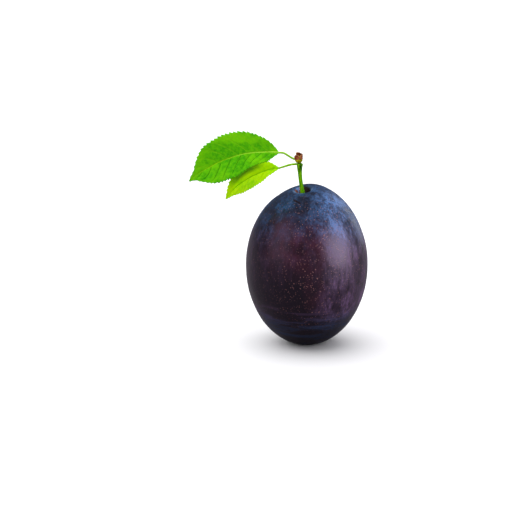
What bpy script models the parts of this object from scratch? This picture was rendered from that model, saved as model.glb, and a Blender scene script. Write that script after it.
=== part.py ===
"""A whole dark plum, standing on a small flat spot at its blossom end.

The fruit keeps its green stalk. The stalk's collar carries a short woody spur
tip with three dry bud scales, and two leaves grow from that tip on petioles.
The origin is the centre of the flat spot, +Z is up, the front of the plum is
towards -Y and the leaves reach out towards -X. Units are metres and radians.
"""
import math

import bmesh
import bpy
import numpy as np
from mathutils import Vector
from mathutils.geometry import interpolate_bezier

# Driving dimensions of the fruit
FRUIT_RADIUS = 0.0216
FRUIT_HALF_LENGTH = 0.0289
FLAT_SPOT_RADIUS = 0.0048
TOP_LEAN = math.radians(12)       # the stalk's end of the fruit bends to the front
SHOULDER_SLOPE = 0.0022           # the right shoulder stands higher, the left one lower
RIGHT_SHOULDER = 0.29             # share of the radius at which the right one is highest
LEFT_SHOULDER = 0.42
CAVITY_DEPTH = 0.0044
CAVITY_RADIUS = 0.0022
CAVITY_SHIFT = -0.0017            # the cavity lies a little left of the axis
CAVITY_REACH = 0.007              # how far round the cavity the fruit is drawn aside
SUTURE_DEPTH = 0.0004
SUTURE_WIDTH = 0.0011
SUTURE_AZIMUTH = math.radians(152)
FRUIT_SIDES = 48
FRUIT_RINGS = 30

# Driving dimensions of the stalk, the spur tip and the leaves
STALK_RADIUS = 0.00067
STALK_FOOT_RADIUS = 0.00090
COLLAR_RADIUS = 0.00115
SPUR_RADIUS = 0.00135
SPUR_HEIGHT = 0.0021
SCALE_THICKNESS = 0.00035
PETIOLE_RADIUS = 0.00033
LEAF_THICKNESS = 0.0003
GAP = 0.0003                      # clearance between neighbouring pieces


def make_material(name, colour, roughness):
    """A plain Principled material in the piece's own colour."""
    material = bpy.data.materials.new(name)
    material.use_nodes = True
    shader = material.node_tree.nodes["Principled BSDF"]
    shader.inputs["Base Color"].default_value = (*colour, 1)
    shader.inputs["Roughness"].default_value = roughness
    shader.inputs["Metallic"].default_value = 0
    return material


def add_object(name, mesh_in_progress, material, collection):
    """Turn a finished bmesh into a named, smooth shaded object."""
    bmesh.ops.recalc_face_normals(mesh_in_progress, faces=mesh_in_progress.faces)
    mesh = bpy.data.meshes.new(name)
    mesh_in_progress.to_mesh(mesh)
    mesh_in_progress.free()
    mesh.shade_smooth()
    mesh.materials.append(material)
    piece = bpy.data.objects.new(name, mesh)
    collection.objects.link(piece)
    return piece


def fruit_centre_height():
    """Height of the fruit's middle above its flat spot."""
    return FRUIT_HALF_LENGTH * math.sqrt(1 - (FLAT_SPOT_RADIUS / FRUIT_RADIUS) ** 2)


def bend_to_front(point):
    """Bend the upper half of the fruit along an arc, towards -Y."""
    if point.z <= 0:
        return point.copy()
    arc_radius = FRUIT_HALF_LENGTH / TOP_LEAN
    angle = point.z / arc_radius
    axis = Vector((0, -arc_radius * (1 - math.cos(angle)), arc_radius * math.sin(angle)))
    across = Vector((0, math.cos(angle), math.sin(angle)))
    return axis + across * point.y + Vector((point.x, 0, 0))


def shape_fruit(point):
    """Give a point of the turned fruit its shoulders, suture and bend."""
    point = point.copy()
    place = RIGHT_SHOULDER if point.x > 0 else LEFT_SHOULDER
    side = point.x / (FRUIT_RADIUS * place)
    top = max(point.z / FRUIT_HALF_LENGTH, 0)
    point.z += SHOULDER_SLOPE * place * side * math.exp(0.5 - 0.5 * side * side) * top ** 4
    along = Vector((math.cos(SUTURE_AZIMUTH), math.sin(SUTURE_AZIMUTH), 0))
    ahead = point.dot(along)
    if ahead > 0:
        aside = point.y * along.x - point.x * along.y
        fade = min(ahead / CAVITY_RADIUS, 1)
        depth = SUTURE_DEPTH * fade * math.exp(-((aside / SUTURE_WIDTH) ** 2))
        point -= along * depth
    if top > 0.5:
        reach = math.hypot(point.x, point.y) / CAVITY_REACH
        point.x += CAVITY_SHIFT * math.exp(-reach * reach)
    return bend_to_front(point)


def fruit_profile():
    """Points from the floor of the cavity over the rim and down to the blossom end."""
    points = []
    for ring in range(FRUIT_RINGS + 1):
        angle = math.pi * (ring / FRUIT_RINGS) ** 1.4
        radius = FRUIT_RADIUS * math.sin(angle)
        pit = CAVITY_DEPTH / (1 + (radius / CAVITY_RADIUS) ** 6) if ring * 2 < FRUIT_RINGS else 0
        points.append(Vector((radius, 0, FRUIT_HALF_LENGTH * math.cos(angle) - pit)))
    return points


def make_fruit(collection):
    """Turn the profile, shape it, and cut the flat spot that it stands on."""
    fruit = bmesh.new()
    verts = [fruit.verts.new(point) for point in fruit_profile()]
    edges = [fruit.edges.new(pair) for pair in zip(verts, verts[1:])]
    bmesh.ops.spin(fruit, geom=verts + edges, cent=(0, 0, 0), axis=(0, 0, 1),
                   angle=math.tau, steps=FRUIT_SIDES, use_merge=True)
    bmesh.ops.remove_doubles(fruit, verts=fruit.verts, dist=1e-6)
    lift = Vector((0, 0, fruit_centre_height()))
    for vert in fruit.verts:
        vert.co = shape_fruit(vert.co) + lift
    cut = bmesh.ops.bisect_plane(fruit, geom=fruit.verts[:] + fruit.edges[:] + fruit.faces[:],
                                 plane_co=(0, 0, 0), plane_no=(0, 0, 1), clear_inner=True)
    rim = [part for part in cut["geom_cut"] if isinstance(part, bmesh.types.BMEdge)]
    bmesh.ops.contextual_create(fruit, geom=rim)
    skin = make_material("plum_skin", (0.045, 0.022, 0.045), 0.45)
    return add_object("fruit", fruit, skin, collection)


def smooth_route(points, steps):
    """Points at even parameter steps on a smooth curve through the given ones."""
    route = []
    for index in range(len(points) - 1):
        before = points[max(index - 1, 0)]
        after = points[min(index + 2, len(points) - 1)]
        start, end = points[index], points[index + 1]
        handle_out = start + (end - before) / 6
        handle_in = end - (after - start) / 6
        route += interpolate_bezier(start, handle_out, handle_in, end, steps + 1)[:-1]
    return route + [points[-1]]


def loft(name, rings, material, collection):
    """Close a row of rings, each a list of points, into one solid."""
    solid = bmesh.new()
    loops = []
    for ring in rings:
        verts = [solid.verts.new(point) for point in ring]
        loops.append([solid.edges.new(pair) for pair in zip(verts, verts[1:] + verts[:1])])
    for lower, upper in zip(loops, loops[1:]):
        bmesh.ops.bridge_loops(solid, edges=lower + upper)
    bmesh.ops.contextual_create(solid, geom=loops[0])
    bmesh.ops.contextual_create(solid, geom=loops[-1])
    bmesh.ops.triangulate(solid, faces=[face for face in solid.faces if len(face.verts) > 4])
    return add_object(name, solid, material, collection)


def tube_rings(route, radii, sides, across):
    """Round rings along a route, one radius each."""
    rings = []
    for index, (centre, radius) in enumerate(zip(route, radii)):
        ahead = route[min(index + 1, len(route) - 1)] - route[max(index - 1, 0)]
        side = ahead.cross(across).normalized()
        front = side.cross(ahead).normalized()
        turns = [math.tau * step / sides for step in range(sides)]
        rings.append([centre + side * radius * math.cos(turn) + front * radius * math.sin(turn)
                      for turn in turns])
    return rings


def cavity_floor():
    """The lowest point of the stem cavity."""
    floor = Vector((0, 0, FRUIT_HALF_LENGTH - CAVITY_DEPTH))
    return shape_fruit(floor) + Vector((0, 0, fruit_centre_height()))


STALK_TOP = Vector((-0.00280, -0.0048, 0.06575))


def make_stalk(collection):
    """The green stalk: a flared foot in the cavity and a wider collar at the top."""
    foot = cavity_floor()
    foot += Vector((-0.0002, -math.sin(TOP_LEAN), math.cos(TOP_LEAN))) * GAP * 1.5
    bends = [foot, Vector((-0.00172, -0.0031, 0.0547)), Vector((-0.00252, -0.0040, 0.0597)),
             Vector((-0.00288, -0.0046, 0.0640)), STALK_TOP]
    route = smooth_route(bends, 6)
    radii = []
    for index in range(len(route)):
        share = index / (len(route) - 1)
        flare = (STALK_FOOT_RADIUS - STALK_RADIUS) * math.exp(-share * 9)
        collar = (COLLAR_RADIUS - STALK_RADIUS) * max(0, (share - 0.62) / 0.38) ** 1.8
        radii.append(STALK_RADIUS + flare + collar)
    green = make_material("stalk_green", (0.25, 0.45, 0.06), 0.5)
    return loft("fruit_stalk", tube_rings(route, radii, 16, Vector((0, 1, 0))), green, collection)


SPUR_FOOT = STALK_TOP + Vector((-0.0004, 0, GAP))


def make_spur(collection):
    """The woody spur tip: a swollen ring with a narrower stub standing in it."""
    shape = [(0.0, 0.80), (0.12, 0.95), (0.28, 1.0), (0.44, 0.96), (0.50, 0.86),
             (0.52, 0.56), (0.75, 0.54), (0.92, 0.46), (1.0, 0.30)]
    spur = bmesh.new()
    verts = [spur.verts.new((0, 0, 0))]
    verts += [spur.verts.new((SPUR_RADIUS * wide, 0, SPUR_HEIGHT * high)) for high, wide in shape]
    verts.append(spur.verts.new((0, 0, SPUR_HEIGHT)))
    edges = [spur.edges.new(pair) for pair in zip(verts, verts[1:])]
    bmesh.ops.spin(spur, geom=verts + edges, cent=(0, 0, 0), axis=(0, 0, 1),
                   angle=math.tau, steps=20, use_merge=True)
    bmesh.ops.remove_doubles(spur, verts=spur.verts, dist=1e-6)
    bmesh.ops.translate(spur, verts=spur.verts, vec=SPUR_FOOT)
    bark = make_material("spur_bark", (0.30, 0.26, 0.05), 0.7)
    return add_object("spur", spur, bark, collection)


def make_scale(name, root, tip, facing, width, cup, collection):
    """A dry bud scale: a small flake from its root to its tip, cupped across."""
    along = tip - root
    across = along.cross(facing).normalized()
    out = across.cross(along).normalized()
    rings = []
    for step in range(9):
        share = step / 8
        half_width = width / 2 * math.sqrt(max(0.06, 1 - abs(2 * share - 0.8) ** 2.4 / 1.4))
        ring = []
        for turn in range(12):
            angle = math.tau * turn / 12
            wide = half_width * math.cos(angle)
            thick = SCALE_THICKNESS / 2 * math.sin(angle)
            ring.append(root + along * share + across * wide + out * (thick - cup * wide * wide))
        rings.append(ring)
    brown = make_material(name + "_brown", (0.22, 0.10, 0.04), 0.7)
    return loft(name, rings, brown, collection)


def make_scales(collection):
    """Two scales clasp the stub and the third lies aslant across its top."""
    make_scale("left_scale", root=SPUR_FOOT + Vector((-0.00085, -0.00095, 0.00175)),
               tip=SPUR_FOOT + Vector((-0.00110, -0.00090, 0.00275)),
               facing=Vector((-0.6, -0.8, 0)), width=0.0015, cup=300, collection=collection)
    make_scale("right_scale", root=SPUR_FOOT + Vector((0.00095, -0.00085, 0.00165)),
               tip=SPUR_FOOT + Vector((0.00110, -0.00070, 0.00230)),
               facing=Vector((0.7, -0.7, 0)), width=0.0011, cup=300, collection=collection)
    make_scale("top_scale", root=SPUR_FOOT + Vector((0.00110, 0.00010, 0.00285)),
               tip=SPUR_FOOT + Vector((-0.00105, 0.00020, 0.00375)),
               facing=Vector((0.3, -0.5, 0.8)), width=0.0018, cup=100, collection=collection)


# Half widths of the blades as shares of the greatest one, from base to tip
LARGE_UPPER = [(0, 0.04), (0.07, 0.33), (0.16, 0.61), (0.28, 0.84), (0.42, 0.96), (0.58, 0.93),
               (0.72, 0.79), (0.81, 0.56), (0.87, 0.32), (0.92, 0.14), (1, 0.03)]
LARGE_LOWER = [(0, 0.04), (0.07, 0.28), (0.14, 0.48), (0.28, 0.64), (0.50, 0.94), (0.64, 0.94),
               (0.78, 0.78), (0.88, 0.46), (0.95, 0.15), (1, 0.03)]
SMALL_UPPER = [(0, 0.06), (0.14, 0.56), (0.34, 0.96), (0.52, 1.0), (0.72, 0.70), (0.88, 0.28),
               (0.95, 0.12), (1, 0.04)]
SMALL_LOWER = [(0, 0.06), (0.14, 0.52), (0.34, 0.94), (0.54, 1.0), (0.74, 0.72), (0.88, 0.30),
               (0.95, 0.12), (1, 0.04)]


def even_route(points, count):
    """The smooth curve through the given points, as points an even length apart."""
    curve = np.array(smooth_route(points, 12))
    reached = np.append(0, np.cumsum(np.linalg.norm(np.diff(curve, axis=0), axis=1)))
    lengths = np.linspace(0, reached[-1], count)
    spread = [np.interp(lengths, reached, curve[:, axis]) for axis in range(3)]
    return [Vector(point) for point in zip(*spread)]


def half_widths(outline, count):
    """Shares of the greatest half width at even steps, read from a smooth outline."""
    curve = smooth_route([Vector((along, wide, 0)) for along, wide in outline], 6)
    shares = np.linspace(0, 1, count)
    return np.interp(shares, [point.x for point in curve], [point.y for point in curve])


def make_leaf(name, petiole, midrib, half_width, outlines, pitch, fold, droop, colour, collection):
    """A petiole that widens into a thin, folded and pointed blade, as one solid."""
    stem = even_route(petiole, 10)
    spine = even_route(midrib, 40)
    route = stem[:-1] + spine
    facing = Vector((0, -math.cos(pitch), math.sin(pitch)))
    margins = [half_widths(outline, len(spine)) * half_width for outline in outlines]
    rings = []
    for index, centre in enumerate(route):
        ahead = route[min(index + 1, len(route) - 1)] - route[max(index - 1, 0)]
        across = facing.cross(ahead).normalized()
        normal = ahead.cross(across).normalized()
        place = index - len(stem) + 1
        share = max(0, place / (len(spine) - 1))
        rib = PETIOLE_RADIUS * (1 - 0.6 * share)
        ring = []
        for turn in range(20):
            angle = math.tau * turn / 20
            side = 1 if math.cos(angle) > 0 else 0
            wide = max(margins[side][place], rib) if place > 0 else PETIOLE_RADIUS
            aside = wide * math.cos(angle)
            near_rib = math.exp(-((aside / (2.2 * PETIOLE_RADIUS)) ** 2))
            thick = LEAF_THICKNESS / 2 + (rib - LEAF_THICKNESS / 2) * near_rib
            lift = math.tan(fold) * abs(aside) - droop * aside * aside if place > 0 else 0
            ring.append(centre + across * aside + normal * (lift + thick * math.sin(angle)))
        rings.append(ring)
    green = make_material(name + "_green", colour, 0.45)
    return loft(name, rings, green, collection)


def make_leaves(collection):
    """The large leaf from the spur's left side and the small one from the collar."""
    make_leaf("large_leaf",
              petiole=[Vector((-0.00500, -0.0048, 0.06736)), Vector((-0.00557, -0.0048, 0.06760)),
                       Vector((-0.00696, -0.0049, 0.06849)), Vector((-0.00848, -0.0050, 0.06938)),
                       Vector((-0.01018, -0.0052, 0.06956))],
              midrib=[Vector((-0.01018, -0.0052, 0.06956)), Vector((-0.01466, -0.0057, 0.06982)),
                      Vector((-0.02202, -0.0067, 0.06937)), Vector((-0.02936, -0.0077, 0.06721)),
                      Vector((-0.03489, -0.0083, 0.06450)), Vector((-0.03888, -0.0088, 0.06212)),
                      Vector((-0.04088, -0.0091, 0.06022))],
              half_width=0.0088, outlines=[LARGE_UPPER, LARGE_LOWER],
              pitch=math.radians(44), fold=math.radians(12), droop=5.0,
              colour=(0.08, 0.40, 0.01), collection=collection)
    make_leaf("small_leaf",
              petiole=[Vector((-0.00445, -0.0047, 0.06546)), Vector((-0.00600, -0.0046, 0.06525)),
                       Vector((-0.00813, -0.0042, 0.06455)), Vector((-0.01013, -0.0039, 0.06386))],
              midrib=[Vector((-0.01013, -0.0039, 0.06386)), Vector((-0.01464, -0.0038, 0.06289)),
                      Vector((-0.02022, -0.0037, 0.06037)), Vector((-0.02516, -0.0037, 0.05687)),
                      Vector((-0.02845, -0.0038, 0.05295))],
              half_width=0.0053, outlines=[SMALL_UPPER, SMALL_LOWER],
              pitch=math.radians(56), fold=math.radians(14), droop=6.0,
              colour=(0.22, 0.55, 0.01), collection=collection)


def main():
    for old in list(bpy.data.objects):
        bpy.data.objects.remove(old, do_unlink=True)
    collection = bpy.data.collections.new("plum")
    bpy.context.scene.collection.children.link(collection)
    make_fruit(collection)
    make_stalk(collection)
    make_spur(collection)
    make_scales(collection)
    make_leaves(collection)


main()
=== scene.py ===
import math

import bmesh
import bpy
import numpy as np
from mathutils import Matrix, Vector, noise
from mathutils.geometry import interpolate_bezier


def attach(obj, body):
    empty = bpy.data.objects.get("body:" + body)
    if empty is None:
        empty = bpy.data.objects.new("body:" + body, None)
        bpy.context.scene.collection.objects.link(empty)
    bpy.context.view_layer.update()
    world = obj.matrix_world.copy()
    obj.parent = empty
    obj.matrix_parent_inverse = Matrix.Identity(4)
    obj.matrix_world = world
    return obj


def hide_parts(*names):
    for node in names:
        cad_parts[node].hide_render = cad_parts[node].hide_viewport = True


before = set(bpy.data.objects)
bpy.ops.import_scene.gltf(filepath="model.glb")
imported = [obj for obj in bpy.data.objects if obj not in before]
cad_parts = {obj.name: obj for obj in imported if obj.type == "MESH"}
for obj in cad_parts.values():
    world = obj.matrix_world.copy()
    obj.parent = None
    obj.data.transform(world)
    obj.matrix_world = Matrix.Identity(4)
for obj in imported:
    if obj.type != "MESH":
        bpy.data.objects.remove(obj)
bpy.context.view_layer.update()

# ---------------------------------------------------------------------------
# The fruit: one whole prune plum. It is a long egg of firm flesh under a dark
# purple skin, with a stem cavity at the top, a shallow suture down its back
# left, and a small flat spot at the blossom end that it stands on.
# ---------------------------------------------------------------------------
fruit_radius = 0.0216
fruit_half_length = 0.0289
flat_spot_radius = 0.0048
top_lean = math.radians(12)
shoulder_slope = 0.0022
right_shoulder = 0.29
left_shoulder = 0.42
cavity_depth = 0.0044
cavity_radius = 0.0022
cavity_shift = -0.0017
cavity_reach = 0.007
cavity_steepness = 6
cavity_forward = 0.0026
suture_depth = 0.0004
suture_width = 0.0011
suture_azimuth = math.radians(152)
soft_lumps = ((95, 0.00012), (260, 0.00003))
foot_band = 0.003
foot_softness = 0.00022
fruit_sides = 288
fruit_rings = 210
ring_crowding = 1.25
centre_share = math.sqrt(1 - (flat_spot_radius / fruit_radius) ** 2)
fruit_centre = Vector((0, 0, fruit_half_length * centre_share))


def bend_to_front(point):
    """The upper half of the fruit bends along an arc, towards -Y."""
    if point.z <= 0:
        return point.copy()
    arc_radius = fruit_half_length / top_lean
    angle = point.z / arc_radius
    axis = Vector((0, -arc_radius * (1 - math.cos(angle)), arc_radius * math.sin(angle)))
    across = Vector((0, math.cos(angle), math.sin(angle)))
    return axis + across * point.y + Vector((point.x, 0, 0))


def grow_fruit(point):
    """Shoulders, suture, soft lumps and bend of one point of the turned egg."""
    point = point.copy()
    place = right_shoulder if point.x > 0 else left_shoulder
    side = point.x / (fruit_radius * place)
    top = max(point.z / fruit_half_length, 0)
    point.z += shoulder_slope * place * side * math.exp(0.5 - 0.5 * side * side) * top ** 4
    along = Vector((math.cos(suture_azimuth), math.sin(suture_azimuth), 0))
    ahead = point.dot(along)
    if ahead > 0:
        aside = point.y * along.x - point.x * along.y
        fade = min(ahead / cavity_radius, 1)
        point -= along * suture_depth * fade * math.exp(-((aside / suture_width) ** 2))
    lump = sum(noise.noise(point * per_metre) * height for per_metre, height in soft_lumps)
    point += point.normalized() * lump * (1 - top ** 12)
    if top > 0.5:
        aside = math.hypot(point.x, point.y) / cavity_reach
        point.x += cavity_shift * math.exp(-aside * aside)
    return bend_to_front(point) + fruit_centre


def add_piece(name, shape, materials):
    """Make a finished bmesh a smooth object at the origin that rides on the plum."""
    mesh = bpy.data.meshes.new(name)
    shape.to_mesh(mesh)
    shape.free()
    mesh.shade_smooth()
    for material in materials:
        mesh.materials.append(material)
    piece = bpy.data.objects.new(name, mesh)
    bpy.context.scene.collection.objects.link(piece)
    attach(piece, "root")
    return piece


class Skin:
    """A Principled material and short ways to add nodes to it."""

    def __init__(self, name, roughness, specular=0.5):
        self.material = bpy.data.materials.new(name)
        self.material.use_nodes = True
        self.nodes = self.material.node_tree.nodes
        self.links = self.material.node_tree.links
        self.shader = self.nodes["Principled BSDF"]
        self.shader.inputs["Roughness"].default_value = roughness
        self.shader.inputs["Specular IOR Level"].default_value = specular
        self.place = self.nodes.new("ShaderNodeTexCoord").outputs["Object"]

    def plug(self, value, socket):
        """Link a socket's value, or set a plain number or colour."""
        if isinstance(value, bpy.types.NodeSocket):
            self.links.new(value, socket)
        else:
            socket.default_value = value

    def sum(self, kind, first, second=0.0, clamp=False):
        """One Math node."""
        node = self.nodes.new("ShaderNodeMath")
        node.operation = kind
        node.use_clamp = clamp
        self.plug(first, node.inputs[0])
        self.plug(second, node.inputs[1])
        return node.outputs[0]

    def step(self, value, low, high, bottom=0.0, top=1.0):
        """A smooth step from bottom to top as the value goes from low to high."""
        node = self.nodes.new("ShaderNodeMapRange")
        node.interpolation_type = "SMOOTHSTEP"
        self.plug(value, node.inputs["Value"])
        ends = ("From Min", "From Max", "To Min", "To Max")
        for socket, number in zip(ends, (low, high, bottom, top)):
            node.inputs[socket].default_value = number
        return node.outputs["Result"]

    def cloud(self, scale, detail=3.0, stretch=(1, 1, 1), rough=0.5, twist=0.0, turn=(0, 0, 0)):
        """Noise about a number of lumps to the metre, stretched along the axes."""
        mapping = self.nodes.new("ShaderNodeMapping")
        mapping.inputs["Scale"].default_value = stretch
        mapping.inputs["Rotation"].default_value = turn
        self.links.new(self.place, mapping.inputs["Vector"])
        node = self.nodes.new("ShaderNodeTexNoise")
        node.inputs["Scale"].default_value = scale
        node.inputs["Detail"].default_value = detail
        node.inputs["Roughness"].default_value = rough
        node.inputs["Distortion"].default_value = twist
        self.links.new(mapping.outputs[0], node.inputs["Vector"])
        return node.outputs["Fac"]

    def dots(self, scale, radius, softness=0.4):
        """Round specks, each of its own strength, where scattered balls cut the surface."""
        node = self.nodes.new("ShaderNodeTexVoronoi")
        node.inputs["Scale"].default_value = scale
        self.links.new(self.place, node.inputs["Vector"])
        edge = radius * scale
        ball = self.step(node.outputs["Distance"], edge * (1 - softness), edge, 1.0, 0.0)
        return self.sum("MULTIPLY", ball, self.step(node.outputs["Color"], 0.25, 0.75, 0.1, 1.0))

    def blend(self, share, first, second):
        """Mix two colours by a share."""
        node = self.nodes.new("ShaderNodeMix")
        node.data_type = "RGBA"
        self.plug(share, node.inputs["Factor"])
        for socket, colour in ((node.inputs[6], first), (node.inputs[7], second)):
            if isinstance(colour, bpy.types.NodeSocket):
                self.links.new(colour, socket)
            else:
                socket.default_value = (*colour, 1)
        return node.outputs[2]

    def axes(self):
        """The point's x, y and z."""
        node = self.nodes.new("ShaderNodeSeparateXYZ")
        self.links.new(self.place, node.inputs[0])
        return node.outputs

    def relief(self, height, distance, strength=1.0):
        """Fine relief from a height map, its depth in metres, added to the last one."""
        node = self.nodes.new("ShaderNodeBump")
        node.inputs["Distance"].default_value = distance
        node.inputs["Strength"].default_value = strength
        self.links.new(height, node.inputs["Height"])
        last = self.shader.inputs["Normal"]
        if last.is_linked:
            self.links.new(last.links[0].from_socket, node.inputs["Normal"])
        self.links.new(node.outputs[0], last)


def plum_skin():
    """Dark purple skin, unevenly rubbed bloom with a painted reflection low on the right, pale
    lenticels, a scar and the cavity with a painted highlight and glint.
    """
    skin = Skin("plum_skin", 0.40)
    skin.shader.inputs["Specular Tint"].default_value = (0.86, 0.76, 1.0, 1)
    x, y, z = skin.axes()
    ruddy = skin.sum("MULTIPLY", skin.step(x, -0.018, -0.008), skin.step(x, 0.010, 0.003))
    ruddy = skin.sum("MULTIPLY", ruddy, skin.step(z, 0.025, 0.040))
    seam = skin.sum("MULTIPLY", skin.step(x, -0.003, 0.001), skin.step(x, 0.008, 0.003))
    seam = skin.sum("MULTIPLY", seam, skin.step(z, 0.014, 0.026, 0.0, 0.6))
    ruddy = skin.sum("MAXIMUM", ruddy, seam)
    ruddy = skin.sum("MULTIPLY", ruddy, skin.step(skin.cloud(150, 4), 0.35, 0.6, 0.25, 1.0))
    deep = skin.blend(ruddy, (0.0040, 0.0005, 0.0028), (0.062, 0.009, 0.021))
    deep = skin.blend(skin.step(z, 0.042, 0.052), deep, (0.007, 0.006, 0.012))

    # bloom: blue and thick round the stalk and the right shoulder, violet down the
    # right side, thin elsewhere, and wiped in level streaks near the foot; down the right side,
    # strongest low down, the colour is partly bloom and partly a painted reflection of the white table
    top = skin.step(z, 0.036, 0.052, 0.0, 0.15)
    # painted reflection: the right-side bloom is raised low down, below 26 mm, to paint in the white
    # table's reflection
    right = skin.sum("MULTIPLY", skin.step(x, 0.001, 0.010, 0.0, 0.28),
                     skin.step(z, 0.006, 0.021, 0.2, 1.0))
    right = skin.sum("MULTIPLY", right, skin.step(z, 0.026, 0.019, 1.0, 1.7))
    shoulder = skin.sum("MULTIPLY", skin.step(x, 0.001, 0.011), skin.step(z, 0.034, 0.045, 0.0, 0.26))
    middle = skin.sum("MULTIPLY", skin.step(z, 0.022, 0.038), 0.06)
    amount = skin.sum("ADD", skin.sum("ADD", top, right), skin.sum("ADD", middle, 0.01))
    amount = skin.sum("ADD", amount, shoulder)
    patches = skin.step(skin.cloud(95, 5, rough=0.6, twist=0.6), 0.36, 0.64, 0.45, 1.4)
    aslant = (0, 0.6, 0)
    strokes = skin.cloud(260, 4, (1.6, 1.6, 0.35), 0.6, 0.5, aslant)
    patches = skin.sum("MULTIPLY", patches, skin.step(strokes, 0.38, 0.62, 0.5, 1.4))
    fine = skin.cloud(1000, 5, (1.5, 1.5, 0.35), 0.7, 0.3, aslant)
    fine = skin.step(fine, 0.34, 0.66, 0.4, 1.5)
    amount = skin.sum("MULTIPLY", skin.sum("MULTIPLY", amount, patches), fine)
    wipes = skin.cloud(210, 5, (0.30, 0.30, 2.6), 0.65, 0.4, (0.15, 0.25, 0))
    rubbed = skin.sum("MULTIPLY", skin.step(wipes, 0.46, 0.62),
                      skin.step(z, 0.020, 0.011, 0.0, 0.34))
    amount = skin.sum("ADD", amount, rubbed, clamp=True)
    # the violet low down is partly bloom colour and partly the painted reflection of the white table
    blue = skin.blend(skin.step(z, 0.018, 0.009), (0.250, 0.130, 0.300), (0.030, 0.090, 0.230))
    blue = skin.blend(skin.step(z, 0.034, 0.048), blue, (0.035, 0.150, 0.400))
    blue = skin.blend(shoulder, blue, (0.300, 0.400, 0.800))
    colour = skin.blend(amount, deep, blue)

    # lenticels: pink-tan specks, thickest on the face of the fruit
    specks = skin.sum("MAXIMUM", skin.dots(1500, 0.00019), skin.dots(620, 0.00026))
    where = skin.step(skin.cloud(70, 2), 0.30, 0.55, 0.30, 0.85)
    where = skin.sum("MULTIPLY", where, skin.step(z, 0.005, 0.018, 0.10, 1.0))
    where = skin.sum("MULTIPLY", where, skin.step(z, 0.056, 0.050, 0.15, 1.0))
    where = skin.sum("MULTIPLY", where, skin.step(x, -0.013, 0.001, 0.35, 1.0))
    specks = skin.sum("MULTIPLY", specks, where)
    colour = skin.blend(specks, colour, (0.400, 0.180, 0.165))

    # a short dark scar near the top, falling a little to the right
    scar_height, scar_slope = 0.0518, 0.35
    slip = skin.sum("ADD", skin.sum("MULTIPLY", x, scar_slope), skin.sum("ADD", z, -scar_height))
    scar = skin.sum("MULTIPLY", skin.step(x, -0.0056, -0.0047), skin.step(x, -0.0022, -0.0031))
    scar = skin.sum("MULTIPLY", scar, skin.step(skin.sum("ABSOLUTE", slip), 0.00035, 0.00012))
    scar = skin.sum("MULTIPLY", scar, skin.step(y, -0.004, -0.006))
    colour = skin.blend(scar, colour, (0.012, 0.004, 0.007))

    # the cavity: a bluish lip painted brighter at its front rim as a highlight, a rusty left wall with
    # a painted pale blue glint, and a nearly black right one
    beside = skin.sum("ADD", x, -cavity_shift)
    ahead = skin.sum("ADD", y, cavity_forward)
    spread = skin.sum("ADD", skin.sum("POWER", beside, 2.0), skin.sum("POWER", ahead, 2.0))
    spread = skin.sum("SQRT", spread)
    high = skin.step(z, 0.045, 0.050)
    lip = skin.sum("MULTIPLY", skin.step(spread, 0.0039, 0.0033), skin.step(spread, 0.0027, 0.0030))
    # painted highlight: the lip's bluish bloom is brightened towards the front rim
    front = skin.step(ahead, 0.0012, -0.0012, 0.1, 0.75)
    lip = skin.sum("MULTIPLY", lip, skin.sum("MULTIPLY", high, front))
    colour = skin.blend(lip, colour, (0.110, 0.200, 0.380))
    rusty = skin.blend(skin.step(skin.cloud(1300, 3), 0.42, 0.58),
                       (0.090, 0.010, 0.006), (0.420, 0.150, 0.110))
    wall = skin.blend(skin.step(beside, -0.0004, 0.0008), rusty, (0.016, 0.002, 0.002))
    # painted highlight: a pale blue glint on the upper left of the cavity wall
    painted_glint = skin.sum("MULTIPLY", skin.step(beside, -0.0009, -0.0014), skin.step(ahead, 0.0007, 0.0013))
    wall = skin.blend(painted_glint, wall, (0.160, 0.280, 0.640))
    pit = skin.sum("MULTIPLY", skin.step(spread, 0.0029, 0.0025), high)
    colour = skin.blend(pit, colour, wall)
    skin.plug(colour, skin.shader.inputs["Base Color"])
    roughness = skin.step(amount, 0.0, 0.5, 0.30, 0.48)
    roughness = skin.sum("ADD", roughness, skin.sum("MULTIPLY", specks, 0.1))
    skin.plug(roughness, skin.shader.inputs["Roughness"])
    skin.shader.inputs["Sheen Weight"].default_value = 0.02
    skin.shader.inputs["Sheen Roughness"].default_value = 0.35
    skin.shader.inputs["Sheen Tint"].default_value = (0.45, 0.6, 1.0, 1)
    skin.relief(skin.cloud(900, 4, rough=0.6), 0.00005, 0.6)
    skin.relief(skin.cloud(180, 3), 0.0003, 0.5)
    skin.relief(specks, 0.00004, 0.6)
    return skin.material


def cavity_pit(radius):
    """How far the stem cavity dips at a distance from its middle."""
    return cavity_depth / (1 + (radius / cavity_radius) ** cavity_steepness)


fruit_shape = bmesh.new()
profile = []
for ring in range(fruit_rings + 1):
    angle = math.pi * (ring / fruit_rings) ** ring_crowding
    radius = fruit_radius * math.sin(angle)
    dip = cavity_pit(radius) if ring * 2 < fruit_rings else 0
    profile.append(fruit_shape.verts.new((radius, 0, fruit_half_length * math.cos(angle) - dip)))
outline = [fruit_shape.edges.new(pair) for pair in zip(profile, profile[1:])]
bmesh.ops.spin(fruit_shape, geom=profile + outline, cent=(0, 0, 0), axis=(0, 0, 1),
               angle=math.tau, steps=fruit_sides, use_merge=True)
bmesh.ops.remove_doubles(fruit_shape, verts=fruit_shape.verts, dist=1e-6)
for vert in fruit_shape.verts:
    vert.co = grow_fruit(vert.co)
    if vert.co.z < foot_band:
        vert.co.z = (vert.co.z + math.hypot(vert.co.z, foot_softness)) / 2
bmesh.ops.recalc_face_normals(fruit_shape, faces=fruit_shape.faces)
fruit = add_piece("plum_fruit", fruit_shape, [plum_skin()])
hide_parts("fruit")

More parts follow.
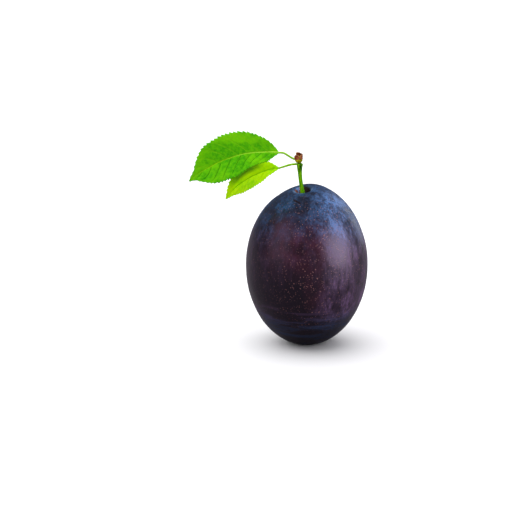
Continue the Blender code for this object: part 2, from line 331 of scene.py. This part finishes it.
# ---------------------------------------------------------------------------
# The fruit stalk: a green, slightly ridged stem. Its flared foot grows out of
# the cavity's floor and its collar, under the spur, is darker and wider.
# ---------------------------------------------------------------------------
stalk_radius = 0.00067
stalk_foot_radius = 0.00095
collar_radius = 0.00116
collar_start = 0.62
stalk_top = Vector((-0.00280, -0.0048, 0.06575))
stalk_stations = 90
stalk_sides = 40
stalk_ridges = 0.035


def even_route(points, count):
    """A smooth curve through the given points, as points an even length apart."""
    curve = []
    for index in range(len(points) - 1):
        start, end = points[index], points[index + 1]
        before, after = points[max(index - 1, 0)], points[min(index + 2, len(points) - 1)]
        curve += interpolate_bezier(start, start + (end - before) / 6,
                                    end - (after - start) / 6, end, 25)
    curve = np.array(curve)
    reached = np.append(0, np.cumsum(np.linalg.norm(np.diff(curve, axis=0), axis=1)))
    lengths = np.linspace(0, reached[-1], count)
    axes = [np.interp(lengths, reached, curve[:, axis]) for axis in range(3)]
    return [Vector(point) for point in zip(*axes)]


def sweep(shape, route, radii, sides, ridge, ridges=5):
    """Bridge circles along a route into a closed stem, with shallow ridges along it."""
    loops = []
    front = Vector((0, 1, 0))
    for index, (centre, radius) in enumerate(zip(route, radii)):
        ahead = (route[min(index + 1, len(route) - 1)] - route[max(index - 1, 0)]).normalized()
        side = ahead.cross(front).normalized()
        turned = Matrix((side, side.cross(ahead), ahead)).transposed().to_4x4()
        ring = bmesh.ops.create_circle(shape, segments=sides, radius=radius,
                                       matrix=Matrix.Translation(centre) @ turned)["verts"]
        for place, vert in enumerate(ring):
            vert.co += (vert.co - centre) * ridge * math.cos(math.tau * place * ridges / sides)
        loops.append(list({edge for vert in ring for edge in vert.link_edges}))
    for lower, upper in zip(loops, loops[1:]):
        bmesh.ops.bridge_loops(shape, edges=lower + upper)
    for end in (loops[0], loops[-1]):
        cap = bmesh.ops.contextual_create(shape, geom=end)["faces"]
        bmesh.ops.poke(shape, faces=cap)


def stalk_green():
    """Fresh green with darker long streaks, a dark collar and painted shade on the foot down in the
    cavity.
    """
    green = Skin("stalk_green", 0.5, 0.06)
    z = green.axes()["Z"]
    streaks = green.cloud(2600, 3, (1, 1, 0.06))
    colour = green.blend(green.step(streaks, 0.35, 0.65), (0.070, 0.400, 0.0), (0.300, 0.760, 0.0))
    dark_collar = green.sum("MULTIPLY", green.step(z, 0.0620, 0.0648),
                            green.step(streaks, 0.62, 0.42))
    colour = green.blend(dark_collar, colour, (0.010, 0.120, 0.001))
    # painted shade: the foot darkens where it sits down in the cavity
    foot = green.step(z, 0.0555, 0.0538, 0.0, 0.6)
    colour = green.blend(foot, colour, (0.020, 0.180, 0.004))
    green.plug(colour, green.shader.inputs["Base Color"])
    green.shader.inputs["Subsurface Weight"].default_value = 0.15
    green.shader.inputs["Subsurface Scale"].default_value = 0.0005
    green.relief(streaks, 0.00006)
    return green.material


stalk_bends = [Vector((-0.00148, -0.0026, 0.0526)), Vector((-0.00172, -0.0031, 0.0547)),
               Vector((-0.00252, -0.0040, 0.0597)), Vector((-0.00288, -0.0046, 0.0640)), stalk_top]
stalk_route = even_route(stalk_bends, stalk_stations)
stalk_radii = []
for place in np.linspace(0, 1, len(stalk_route)):
    flare = (stalk_foot_radius - stalk_radius) * math.exp(-place * 10)
    collar = (collar_radius - stalk_radius) * max(0, (place - collar_start) / (1 - collar_start)) ** 1.8
    rounding = 1 - 0.35 * max(0, (place - 0.97) / 0.03) ** 2
    stalk_radii.append((stalk_radius + flare + collar) * rounding)
stalk_shape = bmesh.new()
sweep(stalk_shape, stalk_route, stalk_radii, stalk_sides, stalk_ridges)
bmesh.ops.recalc_face_normals(stalk_shape, faces=stalk_shape.faces)
stalk = add_piece("green_stalk", stalk_shape, [stalk_green()])
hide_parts("fruit_stalk")

# ---------------------------------------------------------------------------
# The spur tip: the bit of wood that the stalk was picked with. A swollen,
# olive-yellow ring sits on the collar and a brown stub stands inside it.
# ---------------------------------------------------------------------------
spur_radius = 0.00135
spur_height = 0.0024
spur_foot = stalk_top + Vector((-0.00040, 0, 0.00025))
spur_stations = 60
spur_sides = 64


def spur_bark():
    """Olive-yellow ring that turns to rough brown wood above."""
    bark = Skin("spur_bark", 0.6, 0.05)
    z = bark.axes()["Z"]
    grain = bark.cloud(950, 5, (1, 1, 0.6), 0.7)
    ring = bark.blend(bark.step(grain, 0.35, 0.65), (0.260, 0.300, 0.0), (0.800, 0.680, 0.004))
    wood = bark.blend(bark.step(grain, 0.4, 0.6), (0.050, 0.010, 0.002), (0.520, 0.380, 0.020))
    height = bark.sum("ADD", z, bark.sum("MULTIPLY", grain, 0.0006))
    low, high = spur_foot.z + 0.0013, spur_foot.z + 0.0017
    bark.plug(bark.blend(bark.step(height, low, high), ring, wood), bark.shader.inputs["Base Color"])
    bark.relief(grain, 0.0002)
    return bark.material


spur_outline = [(0.0, 0.0), (0.0, 0.56), (0.08, 0.74), (0.22, 0.90), (0.38, 1.0), (0.48, 0.97),
                (0.50, 0.82), (0.62, 0.76), (0.84, 0.74), (0.96, 0.60), (1.0, 0.30), (1.0, 0.0)]
spur_shape = bmesh.new()
spur_bends = [Vector((wide * spur_radius, 0, high * spur_height)) for high, wide in spur_outline]
spur_curve = even_route(spur_bends, spur_stations)
spur_verts = [spur_shape.verts.new((abs(point.x), 0, point.z)) for point in spur_curve]
spur_edges = [spur_shape.edges.new(pair) for pair in zip(spur_verts, spur_verts[1:])]
bmesh.ops.spin(spur_shape, geom=spur_verts + spur_edges, cent=(0, 0, 0), axis=(0, 0, 1),
               angle=math.tau, steps=spur_sides, use_merge=True)
bmesh.ops.remove_doubles(spur_shape, verts=spur_shape.verts, dist=1e-6)
for vert in spur_shape.verts:
    rough = noise.noise(vert.co * 1400) * 0.00012 + noise.noise(vert.co * 3500) * 0.00005
    vert.co += Vector((vert.co.x, vert.co.y, 0)).normalized() * rough
bmesh.ops.translate(spur_shape, verts=spur_shape.verts, vec=spur_foot)
bmesh.ops.recalc_face_normals(spur_shape, faces=spur_shape.faces)
spur = add_piece("spur_tip", spur_shape, [spur_bark()])
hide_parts("spur")

# ---------------------------------------------------------------------------
# The bud scales: three dry brown flakes left from the bud. Two clasp the stub
# and one lies aslant over its broken top.
# ---------------------------------------------------------------------------


def scale_brown(name, dark, light, rim):
    """Dry brown with fine ribs along the flake and a paler worn rim."""
    brown = Skin(name, 0.6, 0.05)
    ribs = brown.cloud(1000, 5, (1, 1, 0.5), 0.7)
    worn = brown.nodes.new("ShaderNodeAttribute")
    worn.attribute_name = "rim"
    colour = brown.blend(brown.step(ribs, 0.35, 0.65), dark, light)
    colour = brown.blend(brown.sum("MULTIPLY", worn.outputs["Fac"], 0.85), colour, rim)
    brown.plug(colour, brown.shader.inputs["Base Color"])
    brown.relief(ribs, 0.00015)
    return brown.material


def make_scale(name, node, root, tip, facing, width, thickness, cup, material):
    """A flake grown as a grid, cupped across, ribbed, ragged at its rim."""
    along = tip - root
    across = along.cross(facing).normalized()
    out = across.cross(along).normalized()
    flake = bmesh.new()
    bmesh.ops.create_grid(flake, x_segments=40, y_segments=28, size=1)
    rim = flake.verts.layers.float.new("rim")
    for vert in flake.verts:
        share, side = (vert.co.x + 1) / 2, vert.co.y
        half_width = width / 2 * math.sqrt(max(0.05, 1 - abs(2 * share - 0.8) ** 2.4 / 1.4))
        ragged = 1 + 0.14 * noise.noise(Vector((share * 9, side * 2, width * 4000))) * abs(side)
        wide = side * half_width * ragged
        lift = -cup * wide * wide + 0.00006 * noise.noise(Vector((share * 3, side * 9, width * 9000)))
        vert.co = root + along * share + across * wide + out * lift
        vert[rim] = max(abs(side), abs(2 * share - 1)) ** 6
    piece = add_piece(name, flake, [material])
    wall = piece.modifiers.new("wall", "SOLIDIFY")
    wall.thickness = thickness
    wall.offset = 0
    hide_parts(node)


red_brown = scale_brown("red_brown_scale", dark=(0.130, 0.016, 0.003),
                        light=(0.560, 0.150, 0.055), rim=(0.700, 0.330, 0.130))
dark_brown = scale_brown("dark_brown_scale", dark=(0.028, 0.004, 0.001),
                         light=(0.170, 0.034, 0.005), rim=(0.700, 0.340, 0.090))
make_scale("left_bud_scale", "left_scale", root=spur_foot + Vector((-0.00070, -0.00095, 0.00100)),
           tip=spur_foot + Vector((-0.00105, -0.00085, 0.00275)), facing=Vector((-0.5, -0.85, 0)),
           width=0.0019, thickness=0.00026, cup=300, material=red_brown)
make_scale("right_bud_scale", "right_scale", root=spur_foot + Vector((0.00085, -0.00085, 0.00125)),
           tip=spur_foot + Vector((0.00100, -0.00055, 0.00285)), facing=Vector((0.7, -0.7, 0)),
           width=0.0012, thickness=0.00026, cup=300, material=red_brown)
make_scale("top_bud_scale", "top_scale", root=spur_foot + Vector((0.00118, -0.00020, 0.00240)),
           tip=spur_foot + Vector((-0.00105, -0.00020, 0.00325)), facing=Vector((0.35, -0.75, 0.55)),
           width=0.0016, thickness=0.00042, cup=100, material=dark_brown)

# ---------------------------------------------------------------------------
# The leaves: a large one that grows from the spur's left side and a small
# young one from the collar. Each is a thin toothed blade, folded a little
# along its midrib, which runs on as the petiole.
# ---------------------------------------------------------------------------
petiole_radius = 0.00033
blade_thickness = 0.00022
blade_stations = 361
blade_rows = 88
tooth_depth = 0.00075
vein_slant = 0.20
vein_width = 0.055
petiole_stations = 170
petiole_sides = 16
petiole_ridges = 0.02
large_upper = [(0, 0.04), (0.07, 0.33), (0.16, 0.61), (0.28, 0.84), (0.42, 0.96), (0.58, 0.93),
               (0.72, 0.79), (0.81, 0.56), (0.87, 0.32), (0.92, 0.14), (1, 0.03)]
large_lower = [(0, 0.04), (0.07, 0.28), (0.14, 0.48), (0.28, 0.64), (0.50, 0.94), (0.64, 0.94),
               (0.78, 0.78), (0.88, 0.46), (0.95, 0.15), (1, 0.03)]
small_upper = [(0, 0.06), (0.14, 0.56), (0.34, 0.96), (0.52, 1.0), (0.72, 0.70), (0.88, 0.28),
               (0.95, 0.12), (1, 0.04)]
small_lower = [(0, 0.06), (0.14, 0.52), (0.34, 0.94), (0.54, 1.0), (0.74, 0.72), (0.88, 0.30),
               (0.95, 0.12), (1, 0.04)]


def leaf_green(name, dark, mid, light, crease_shade_and_back_vein_colour, vein_colour, rib_colour, painted_glow):
    """Fresh leaf: mottled green, painted shade in the creases below the midrib and pale veins above it;
    on the back the crease colour is a pale vein colour instead.
    """
    green = Skin(name, 0.50, 0.04)
    mottle = green.cloud(1000, 5, rough=0.65)
    fresh = green.cloud(110, 4)
    colour = green.blend(green.step(mottle, 0.38, 0.62), dark, mid)
    colour = green.blend(green.step(fresh, 0.42, 0.62, 0.0, 0.7), colour, light)
    veins = green.nodes.new("ShaderNodeAttribute")
    veins.attribute_name = "vein"
    # painted shade: on the top side the creases below the midrib are darkened; on the back they are
    # pale veins
    crease = green.step(veins.outputs["Fac"], 0.0, 1.0, 0.0, 0.8)
    colour = green.blend(crease, colour, crease_shade_and_back_vein_colour)
    pale_vein = green.step(veins.outputs["Fac"], 0.0, -1.0, 0.0, 0.45)
    colour = green.blend(pale_vein, colour, vein_colour)
    # painted shadow: the large leaf's shadow on the small leaf, painted as dark green
    shade = green.nodes.new("ShaderNodeAttribute")
    shade.attribute_name = "shade"
    shaded = green.sum("MULTIPLY", shade.outputs["Fac"], 0.8)
    colour = green.blend(shaded, colour, (0.020, 0.160, 0.006))
    rib = green.nodes.new("ShaderNodeAttribute")
    rib.attribute_name = "midrib"
    colour = green.blend(green.sum("MULTIPLY", rib.outputs["Fac"], 0.8), colour, rib_colour)
    green.plug(colour, green.shader.inputs["Base Color"])
    # painted light: the leaf glows by emission in its own colour, standing in for light shining through
    # it
    green.plug(colour, green.shader.inputs["Emission Color"])
    green.shader.inputs["Emission Strength"].default_value = painted_glow
    green.shader.inputs["Subsurface Weight"].default_value = 0.2
    green.shader.inputs["Subsurface Radius"].default_value = (0.5, 1.0, 0.05)
    green.shader.inputs["Subsurface Scale"].default_value = 0.0004
    green.relief(green.cloud(1500, 4, rough=0.6), 0.0001, 0.6)
    return green.material


def petiole_green(name, colour):
    """Pale green stem with fine streaks."""
    green = Skin(name, 0.5, 0.06)
    streaks = green.cloud(1800, 3, (0.2, 1, 1))
    darker = tuple(0.85 * part for part in colour)
    green.plug(green.blend(green.step(streaks, 0.3, 0.7), darker, colour),
               green.shader.inputs["Base Color"])
    green.shader.inputs["Subsurface Weight"].default_value = 0.15
    green.shader.inputs["Subsurface Scale"].default_value = 0.0004
    green.relief(streaks, 0.00005)
    return green.material


def read_outline(points, places):
    """Half widths at the places asked for, along a smooth outline."""
    curve = even_route([Vector((along, wide, 0)) for along, wide in points], 200)
    return np.interp(places, [point.x for point in curve], [point.y for point in curve])


def make_leaf(name, node, petiole, midrib, half_width, outlines, pitch, fold, droop,
              teeth, vein_pairs, relief, cast_shadow, greens, stem_green):
    """A blade shaped from a grid along its midrib, with the petiole swept below it."""
    spine = even_route(midrib, blade_stations)
    facing = Vector((0, -math.cos(pitch), math.sin(pitch)))
    places = np.linspace(0, 1, blade_stations)
    margins = [read_outline(points, places) * half_width for points in outlines]
    blade = bmesh.new()
    bmesh.ops.create_grid(blade, x_segments=blade_stations - 1, y_segments=blade_rows, size=1)
    vein = blade.verts.layers.float.new("vein")
    rib = blade.verts.layers.float.new("midrib")
    shade = blade.verts.layers.float.new("shade")
    for vert in blade.verts:
        share, side = (vert.co.x + 1) / 2, vert.co.y
        index = round(share * (blade_stations - 1))
        ahead = spine[min(index + 1, blade_stations - 1)] - spine[max(index - 1, 0)]
        across = facing.cross(ahead).normalized()
        normal = ahead.cross(across).normalized()
        off = abs(side)
        margin = margins[1 if side > 0 else 0][index]
        tooth = (share * teeth + 0.3 * noise.noise(Vector((share * 20, side, 0)))) % 1
        inside = math.sin(math.pi * min(1, share * 1.02)) ** 0.4 if 0 < share < 1 else 0
        wide = side * (margin + tooth_depth * tooth * inside * off ** 12)
        lead = share - vein_slant * off ** 1.15
        count = lead * vein_pairs + (0.5 if side > 0 else 0.15)
        away = abs(count - round(count))
        fade = min(1, share * 9) * min(1, (1 - share) * 7) * min(1, off * 8)
        groove = math.exp(-((away / vein_width) ** 2)) * fade * (1 - off ** 5)
        pillow = math.cos(math.tau * away) * -0.5 * fade * (1 - off ** 3)
        rib_line = math.exp(-((wide / (petiole_radius * (1.1 - 0.7 * share))) ** 2))
        soft = noise.noise(Vector((share * 5, side * 2, half_width * 900))) * 0.0002 * off
        ripple = math.sin(share * 31 + side * 2) * 0.00010 * off ** 3 * inside
        lift = math.tan(fold) * abs(wide) - droop * wide * wide
        strength = 1.0 if side > 0 else 0.15
        lift += relief * (0.6 * pillow - 0.8 * groove) * strength + soft + ripple
        lift -= 0.00012 * rib_line
        vert.co = spine[index] + across * wide + normal * lift
        # the vein attribute is positive on the grooves below the midrib, where the top side has painted
        # shade, and negative on the pale veins above it
        vert[vein] = groove if side > 0 else -groove
        vert[rib] = rib_line
        # painted shadow of the large leaf over part of the small leaf's upper half
        shaded_rows = max(0, min(1, -side * 4 - 0.9))
        shaded_length = max(0, min(1, (share - 0.2) * 5, (0.85 - share) * 5))
        vert[shade] = cast_shadow * shaded_rows * shaded_length
    piece = add_piece(name, blade, greens)
    wall = piece.modifiers.new("wall", "SOLIDIFY")
    wall.thickness = blade_thickness
    wall.offset = 0
    wall.material_offset = 1
    wall.material_offset_rim = 0

    stem = bmesh.new()
    below = []
    for index in range(0, blade_stations - 8, 8):
        ahead = spine[index + 1] - spine[index]
        normal = ahead.cross(facing.cross(ahead)).normalized()
        below.append(spine[index] - normal * blade_thickness * min(1, index / 40))
    route = even_route(petiole[:-1] + below, petiole_stations)
    radii = [petiole_radius * (1.12 - 0.85 * max(0, place - 0.15) ** 0.8)
             for place in np.linspace(0, 1, petiole_stations)]
    radii[0] *= 1.25
    sweep(stem, route, radii, petiole_sides, petiole_ridges, ridges=3)
    bmesh.ops.recalc_face_normals(stem, faces=stem.faces)
    holder = add_piece(name + "_petiole", stem, [stem_green])
    for part in (piece, holder):
        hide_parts(node)


large_top = leaf_green(
    "large_leaf_top", dark=(0.045, 0.320, 0.0), mid=(0.090, 0.430, 0.0), light=(0.180, 0.570, 0.0),
    crease_shade_and_back_vein_colour=(0.012, 0.120, 0.001), vein_colour=(0.200, 0.500, 0.004),
    rib_colour=(0.280, 0.560, 0.004), painted_glow=0.05)
large_back = leaf_green(
    "large_leaf_back",
    dark=(0.170, 0.480, 0.050), mid=(0.220, 0.560, 0.070), light=(0.270, 0.620, 0.090),
    crease_shade_and_back_vein_colour=(0.340, 0.660, 0.160), vein_colour=(0.340, 0.660, 0.160),
    rib_colour=(0.420, 0.740, 0.200), painted_glow=0.12)
small_top = leaf_green(
    "small_leaf_top", dark=(0.360, 0.800, 0.0), mid=(0.480, 0.900, 0.0), light=(0.640, 0.970, 0.0),
    crease_shade_and_back_vein_colour=(0.300, 0.680, 0.0), vein_colour=(0.640, 0.940, 0.0),
    rib_colour=(0.240, 0.600, 0.0), painted_glow=0.10)
small_back = leaf_green(
    "small_leaf_back",
    dark=(0.320, 0.620, 0.060), mid=(0.400, 0.700, 0.080), light=(0.460, 0.760, 0.100),
    crease_shade_and_back_vein_colour=(0.500, 0.780, 0.170), vein_colour=(0.500, 0.780, 0.170),
    rib_colour=(0.540, 0.800, 0.200), painted_glow=0.14)
make_leaf("large_leaf_blade", "large_leaf",
          petiole=[Vector((-0.00390, -0.0048, 0.06690)), Vector((-0.00446, -0.0048, 0.06715)),
                   Vector((-0.00557, -0.0048, 0.06760)), Vector((-0.00696, -0.0049, 0.06849)),
                   Vector((-0.00848, -0.0050, 0.06938)), Vector((-0.01018, -0.0052, 0.06956))],
          midrib=[Vector((-0.01018, -0.0052, 0.06956)), Vector((-0.01466, -0.0057, 0.06982)),
                  Vector((-0.02202, -0.0067, 0.06937)), Vector((-0.02936, -0.0077, 0.06721)),
                  Vector((-0.03489, -0.0083, 0.06450)), Vector((-0.03888, -0.0088, 0.06212)),
                  Vector((-0.04088, -0.0091, 0.06022))],
          half_width=0.0088, outlines=[large_upper, large_lower], pitch=math.radians(44),
          fold=math.radians(12), droop=5.0, teeth=27, vein_pairs=9, relief=0.00026,
          cast_shadow=0.0, greens=[large_top, large_back],
          stem_green=petiole_green("large_petiole_green", (0.400, 0.840, 0.050)))
make_leaf("small_leaf_blade", "small_leaf",
          petiole=[Vector((-0.00310, -0.0048, 0.06545)), Vector((-0.00397, -0.0047, 0.06548)),
                   Vector((-0.00600, -0.0046, 0.06525)), Vector((-0.00813, -0.0042, 0.06455)),
                   Vector((-0.01013, -0.0039, 0.06386))],
          midrib=[Vector((-0.01013, -0.0039, 0.06386)), Vector((-0.01464, -0.0038, 0.06289)),
                  Vector((-0.02022, -0.0037, 0.06037)), Vector((-0.02516, -0.0037, 0.05687)),
                  Vector((-0.02845, -0.0038, 0.05295))],
          half_width=0.0053, outlines=[small_upper, small_lower], pitch=math.radians(56),
          fold=math.radians(14), droop=6.0, teeth=20, vein_pairs=7, relief=0.00014,
          cast_shadow=1.0, greens=[small_top, small_back],
          stem_green=petiole_green("small_petiole_green", (0.380, 0.840, 0.004)))

# ---------------------------------------------------------------------------
# The stage: a wide white table in a white room, under a broad overhead light.
# Softboxes at the right, left and back right show only in reflections, and to
# reflected and bounced light the room and table are darker than to the camera.
# ---------------------------------------------------------------------------
table_shape = bmesh.new()
table_radius = 4
bmesh.ops.create_circle(table_shape, cap_ends=True, segments=96, radius=table_radius)
table_mesh = bpy.data.meshes.new("table")
table_shape.to_mesh(table_mesh)
table_shape.free()
table = bpy.data.objects.new("table", table_mesh)
bpy.context.scene.collection.objects.link(table)
table_white = Skin("table_white", 0.9, 0.1)
seen = table_white.nodes.new("ShaderNodeLightPath").outputs["Is Camera Ray"]
table_white.plug(table_white.blend(seen, (0.20, 0.18, 0.20), (0.93, 0.92, 0.935)),
                 table_white.shader.inputs["Base Color"])
table_mesh.materials.append(table_white.material)

world = bpy.data.worlds.new("studio")
world.use_nodes = True
bpy.context.scene.world = world
studio = world.node_tree.nodes
backdrop = studio["Background"]
backdrop.inputs["Color"].default_value = (0.97, 0.98, 1, 1)
sight = studio.new("ShaderNodeLightPath")
diffuse_level, glossy_level, camera_level = 0.76, 0.12, 1.1
level = diffuse_level
for ray, strength in (("Is Glossy Ray", glossy_level), ("Is Camera Ray", camera_level)):
    choice = studio.new("ShaderNodeMix")
    world.node_tree.links.new(sight.outputs[ray], choice.inputs["Factor"])
    if isinstance(level, bpy.types.NodeSocket):
        world.node_tree.links.new(level, choice.inputs["A"])
    else:
        choice.inputs["A"].default_value = level
    choice.inputs["B"].default_value = strength
    level = choice.outputs["Result"]
world.node_tree.links.new(level, backdrop.inputs["Strength"])

plum_middle = Vector((0, 0, 0.03))


def add_softbox(name, place, width, height, power, colour):
    """A rectangular softbox that shines only in reflections, facing the plum's middle."""
    lamp = bpy.data.lights.new(name, "AREA")
    lamp.shape = "RECTANGLE"
    lamp.size = width
    lamp.size_y = height
    lamp.energy = power
    lamp.color = colour
    softbox = bpy.data.objects.new(name, lamp)
    softbox.location = place
    softbox.rotation_euler = (plum_middle - Vector(place)).to_track_quat("-Z", "Y").to_euler()
    softbox.visible_diffuse = False
    bpy.context.scene.collection.objects.link(softbox)


add_softbox("right_softbox", (0.50, -0.24, 0.05), 0.50, 0.62, 6.1, (1.0, 0.90, 1.0))
add_softbox("left_softbox", (-0.46, -0.26, 0.26), 0.40, 0.46, 0.35, (1.0, 0.90, 0.96))
add_softbox("rim_softbox", (0.42, 0.50, 0.20), 0.12, 0.50, 0.65, (0.80, 0.90, 1.0))
overhead = bpy.data.lights.new("overhead_diffuser", "SUN")
overhead.energy = 2.45
overhead.angle = math.radians(100)
ceiling = bpy.data.objects.new("overhead_diffuser", overhead)
ceiling.rotation_euler = (math.radians(-14), math.radians(-16), 0)
ceiling.visible_glossy = False
bpy.context.scene.collection.objects.link(ceiling)

# The camera looks a little down at the front of the plum through a long lens.
camera_elevation = math.radians(14)
camera_distance = 0.512
aim_side = -0.0180
aim_height = 0.0306
lens = bpy.data.cameras.new("camera")
lens.lens = 100
camera = bpy.data.objects.new("camera", lens)
up = Vector((0, math.sin(camera_elevation), math.cos(camera_elevation)))
sight_line = Vector((0, math.cos(camera_elevation), -math.sin(camera_elevation)))
camera.location = Vector((aim_side, 0, 0)) + up * aim_height - sight_line * camera_distance
camera.rotation_euler = (math.pi / 2 - camera_elevation, 0, 0)
bpy.context.scene.collection.objects.link(camera)
bpy.context.scene.camera = camera
bpy.context.scene.view_settings.view_transform = "Standard"
